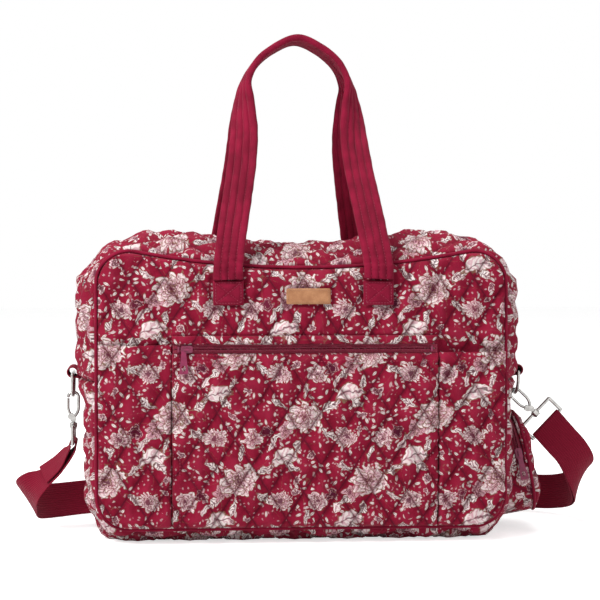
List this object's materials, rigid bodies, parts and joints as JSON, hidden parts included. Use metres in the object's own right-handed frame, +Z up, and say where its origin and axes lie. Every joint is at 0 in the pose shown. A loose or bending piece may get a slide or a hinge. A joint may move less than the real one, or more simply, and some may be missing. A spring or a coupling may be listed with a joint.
{
  "type": "quilted weekend bag",
  "caption": "Soft quilted weekend bag with a zipped top, padded carry handles, front and side pockets and a clip-on webbing shoulder strap.",
  "frame": {"origin": "on the floor under the middle of the base", "axes": "+Z up, front towards -Y, right-hand clip and side pocket towards +X"},
  "size_m": [0.6274, 0.247, 0.524],
  "materials": {
    "quilted_cotton": "matte quilted cotton with a floral print",
    "plain_cotton": "matte twill",
    "webbing": "ribbed webbing",
    "zip_tape": "woven tape",
    "zip_coil": "satin nylon coil",
    "enamel": "gloss enamel",
    "nickel": "polished nickel",
    "leather": "smooth tan leather"
  },
  "bodies": {
    "bag": {"front_panel": "quilted_cotton", "back_panel": "quilted_cotton", "top_gusset_front": "quilted_cotton", "top_gusset_back": "quilted_cotton", "bottom_gusset": "quilted_cotton", "front_piping": "plain_cotton", "back_piping": "plain_cotton", "zip_end_tabs": "plain_cotton", "top_zip_tapes": "zip_tape", "top_zip_coils": "zip_coil", "top_zip_stops": "enamel", "front_pocket": "quilted_cotton", "left_slip_pocket": "quilted_cotton", "right_slip_pocket": "quilted_cotton", "pocket_band": "quilted_cotton", "front_zip_tapes": "zip_tape", "front_zip_coils": "zip_coil", "front_zip_stops": "enamel", "front_handle": "plain_cotton", "back_handle": "plain_cotton", "front_handle_patches": "plain_cotton", "back_handle_patches": "plain_cotton", "leather_label": "leather", "left_tab": "webbing", "right_tab": "webbing", "shoulder_strap": "webbing", "strap_return": "webbing", "side_pocket_wall": "quilted_cotton", "side_pocket_face": "quilted_cotton", "side_zip_tapes": "zip_tape", "side_zip_coils": "zip_coil", "side_zip_stops": "enamel"},
    "front_slider": {"front_zip_slider": "enamel"},
    "front_pull": {"front_zip_pull": "enamel"},
    "top_slider": {"top_zip_slider": "enamel"},
    "top_pull": {"top_zip_pull": "enamel"},
    "side_slider": {"side_zip_slider": "enamel"},
    "side_pull": {"side_zip_pull": "enamel"},
    "left_clasp": {"left_ring": "nickel", "left_strap_loop": "nickel"},
    "right_clasp": {"right_ring": "nickel", "right_strap_loop": "nickel"},
    "left_hook": {"left_hook": "nickel"},
    "right_hook": {"right_hook": "nickel"},
    "left_gate": {"left_gate": "nickel"},
    "right_gate": {"right_gate": "nickel"},
    "strap_adjuster": {"strap_adjuster": "nickel"}
  },
  "joints": [
    {"name": "front_zip_run", "type": "slide", "parent": "bag", "child": "front_slider", "axis": [1, 0, 0], "range_m": [0, 0.24]},
    {"name": "front_pull_swing", "type": "hinge", "parent": "front_slider", "child": "front_pull", "pos_m": [-0.121, -0.1078, 0.199], "axis": [0, -1, 0], "range_deg": [-80, 40]},
    {"name": "top_zip_run", "type": "hinge", "parent": "bag", "child": "top_slider", "pos_m": [0, 0, 1.181], "axis": [0, 1, 0], "range_deg": [0, 18.5]},
    {"name": "top_pull_swing", "type": "hinge", "parent": "top_slider", "child": "top_pull", "pos_m": [0.13898, 0, 0.31118], "axis": [-0.1611, 0, 0.9869], "range_deg": [-80, 40]},
    {"name": "side_zip_run", "type": "hinge", "parent": "bag", "child": "side_slider", "pos_m": [0.23367, 0, 0.07332], "axis": [-0.9848, 0, -0.1736], "range_deg": [0, 156]},
    {"name": "side_pull_swing", "type": "hinge", "parent": "side_slider", "child": "side_pull", "pos_m": [0.23233, -0.05066, 0.0809], "axis": [-0.0361, -0.9781, 0.2048], "range_deg": [-15, 60]},
    {"name": "left_clasp_swing", "type": "hinge", "parent": "bag", "child": "left_clasp", "pos_m": [-0.2363, 0, 0.16765], "axis": [0, 1, 0], "range_deg": [-2, 25], "deforming": ["shoulder_strap"]},
    {"name": "left_hook_swivel", "type": "hinge", "parent": "left_clasp", "child": "left_hook", "pos_m": [-0.2363, 0, 0.11605], "axis": [0, 0, 1], "range_deg": [-20, 20]},
    {"name": "left_gate_press", "type": "hinge", "parent": "left_hook", "child": "left_gate", "pos_m": [-0.2387, 0, 0.12205], "axis": [0, 1, 0], "range_deg": [0, 20], "stiffness_Nm_per_rad": 0.02},
    {"name": "right_clasp_swing", "type": "hinge", "parent": "bag", "child": "right_clasp", "pos_m": [0.2363, 0, 0.16765], "axis": [0, -1, 0], "range_deg": [0, 25], "deforming": ["shoulder_strap", "strap_return"]},
    {"name": "right_hook_swivel", "type": "hinge", "parent": "right_clasp", "child": "right_hook", "pos_m": [0.25633, 0, 0.12455], "axis": [-0.7193, 0, 0.6947], "range_deg": [-20, 20]},
    {"name": "right_gate_press", "type": "hinge", "parent": "right_hook", "child": "right_gate", "pos_m": [0.25035, 0, 0.12699], "axis": [0, 1, 0], "range_deg": [0, 20], "stiffness_Nm_per_rad": 0.02},
    {"name": "strap_adjust", "type": "slide", "parent": "bag", "child": "strap_adjuster", "axis": [-1, 0, 0], "range_m": [0, 0.08], "deforming": ["strap_return"]}
  ]
}
